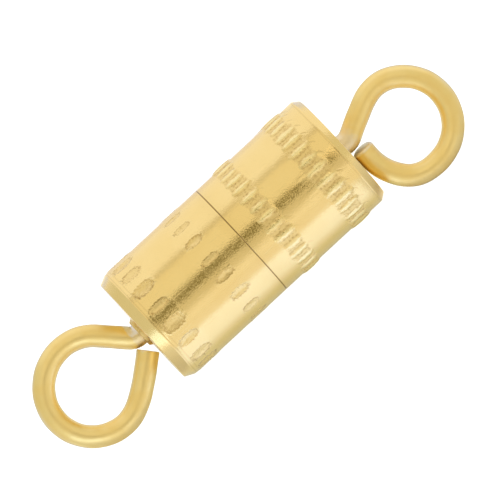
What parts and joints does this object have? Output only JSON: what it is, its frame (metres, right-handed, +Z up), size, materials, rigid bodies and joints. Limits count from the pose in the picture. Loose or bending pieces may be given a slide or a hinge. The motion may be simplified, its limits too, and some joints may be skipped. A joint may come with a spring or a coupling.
{
  "type": "screw clasp",
  "caption": "Barrel screw clasp for a necklace: two knurled gold-coloured halves that screw together, each with a swivelling wire eye for the strand.",
  "frame": {"origin": "on the surface that the clasp lies on, under the middle of its length and width", "axes": "+X along the barrel's axis towards the screw half and its eye, +Z up from the surface"},
  "size_m": [0.0158, 0.0042, 0.0041],
  "materials": {
    "plated_barrel": "satin gold plate with fine scratches",
    "plated_wire": "polished gold plate on drawn wire",
    "thread_brass": "turned brass"
  },
  "bodies": {
    "socket_half": {"socket_half": "plated_barrel"},
    "socket_eye": {"socket_eye": "plated_wire"},
    "screw_eye": {"screw_eye": "plated_wire"},
    "screw_half": {"screw_half": "plated_barrel", "threaded_post": "thread_brass"}
  },
  "joints": [
    {"name": "socket_eye_swivel", "type": "hinge", "parent": "socket_half", "child": "socket_eye", "pos_m": [0, 0, 0.00205], "axis": [1, 0, 0], "continuous": true},
    {"name": "thread_travel", "type": "slide", "parent": "socket_half", "child": "screw_eye", "axis": [1, 0, 0], "range_m": [0, 0.0032]},
    {"name": "unscrew", "type": "hinge", "parent": "screw_eye", "child": "screw_half", "pos_m": [0, 0, 0.00205], "axis": [1, 0, 0], "range_deg": [0, 2304]}
  ],
  "couplings": [
    {"joint": "unscrew", "follows": "thread_travel", "rad_per_m": 12566}
  ]
}
